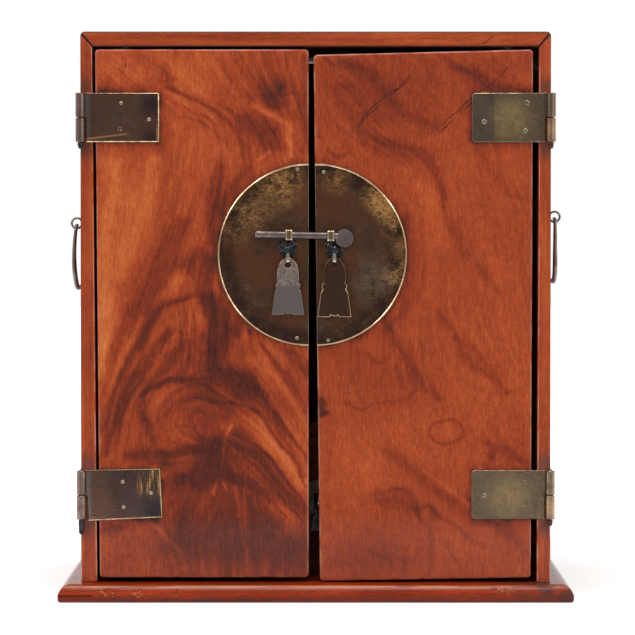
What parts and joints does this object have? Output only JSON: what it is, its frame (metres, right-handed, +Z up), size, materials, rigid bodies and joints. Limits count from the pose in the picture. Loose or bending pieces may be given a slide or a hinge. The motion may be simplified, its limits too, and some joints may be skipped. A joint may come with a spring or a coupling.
{
  "type": "apothecary chest",
  "caption": "Upright hardwood apothecary chest on a moulded base, with hinged doors, a round lock plate with a sliding pin, pendant pulls, side bail handles and an inner drawer.",
  "frame": {"origin": "middle of the base's underside", "axes": "+Z up, the doors face -Y, +X to the right of someone who faces the doors"},
  "size_m": [0.342, 0.255, 0.3782],
  "materials": {
    "case_wood": "polished dark red-brown hardwood",
    "door_wood": "polished orange-red figured hardwood",
    "inner_wood": "dull brown secondary wood",
    "plate_bronze": "dark brown patina with golden worn patches",
    "hinge_brass": "olive-brown tarnished brass",
    "pale_brass": "rubbed pale brass",
    "grey_metal": "grey polished white copper",
    "dark_iron": "dark worn wire"
  },
  "bodies": {
    "case": {"base_board": "case_wood", "side_left": "case_wood", "side_right": "case_wood", "top_board": "case_wood", "back_panel": "inner_wood", "drawer_shelf": "inner_wood", "hinge_left_upper_case_leaf": "hinge_brass", "hinge_left_upper_pin": "dark_iron", "hinge_left_lower_case_leaf": "hinge_brass", "hinge_left_lower_pin": "dark_iron", "hinge_right_upper_case_leaf": "hinge_brass", "hinge_right_upper_pin": "dark_iron", "hinge_right_lower_case_leaf": "hinge_brass", "hinge_right_lower_pin": "dark_iron", "bail_eye_left_front": "dark_iron", "bail_eye_left_rear": "dark_iron", "bail_eye_right_front": "dark_iron", "bail_eye_right_rear": "dark_iron"},
    "left_door": {"door_left": "door_wood", "hinge_left_upper_door_leaf": "hinge_brass", "hinge_left_lower_door_leaf": "hinge_brass", "lock_plate_left": "plate_bronze", "lock_staple_left": "pale_brass", "pendant_eye_left": "dark_iron"},
    "right_door": {"door_right": "door_wood", "hinge_right_upper_door_leaf": "hinge_brass", "hinge_right_lower_door_leaf": "hinge_brass", "lock_plate_right": "plate_bronze", "lock_staple_right": "pale_brass", "pendant_eye_right": "dark_iron"},
    "lock": {"lock_pin": "grey_metal"},
    "left_pendant": {"pendant_link_left": "grey_metal", "pendant_left": "grey_metal"},
    "right_pendant": {"pendant_link_right": "grey_metal", "pendant_right": "plate_bronze"},
    "left_bail": {"bail_left": "dark_iron"},
    "right_bail": {"bail_right": "dark_iron"},
    "drawer": {"drawer_front": "inner_wood", "drawer_side_left": "inner_wood", "drawer_side_right": "inner_wood", "drawer_back": "inner_wood", "drawer_bottom": "inner_wood", "drawer_pull_plate": "plate_bronze", "drawer_pull_eye": "dark_iron"},
    "drawer_drop": {"drawer_pull_link": "grey_metal", "drawer_pull_drop": "grey_metal"}
  },
  "joints": [
    {"name": "left_door_swing", "type": "hinge", "parent": "case", "child": "left_door", "pos_m": [-0.1559, -0.1164, 0.2302], "axis": [0, 0, -1], "range_deg": [0, 180]},
    {"name": "right_door_swing", "type": "hinge", "parent": "case", "child": "right_door", "pos_m": [0.1559, -0.1164, 0.2302], "axis": [0, 0, 1], "range_deg": [0, 180]},
    {"name": "lock_pin_slide", "type": "slide", "parent": "right_door", "child": "lock", "axis": [0.9998, 0, -0.0217], "range_m": [0, 0.03]},
    {"name": "left_pendant_swing", "type": "hinge", "parent": "left_door", "child": "left_pendant", "pos_m": [-0.0184, -0.1195, 0.2346], "axis": [-1, 0, 0], "range_deg": [0, 100]},
    {"name": "right_pendant_swing", "type": "hinge", "parent": "right_door", "child": "right_pendant", "pos_m": [0.0124, -0.1195, 0.2346], "axis": [-1, 0, 0], "range_deg": [0, 100]},
    {"name": "left_bail_swing", "type": "hinge", "parent": "case", "child": "left_bail", "pos_m": [-0.1619, 0, 0.24955], "axis": [0, 1, 0], "range_deg": [0, 150]},
    {"name": "right_bail_swing", "type": "hinge", "parent": "case", "child": "right_bail", "pos_m": [0.1619, 0, 0.25395], "axis": [0, -1, 0], "range_deg": [0, 150]},
    {"name": "drawer_slide", "type": "slide", "parent": "case", "child": "drawer", "axis": [0, -1, 0], "range_m": [0, 0.018]},
    {"name": "drawer_drop_swing", "type": "hinge", "parent": "drawer", "child": "drawer_drop", "pos_m": [0.002, -0.0695, 0.064], "axis": [-1, 0, 0], "range_deg": [0, 30]}
  ]
}
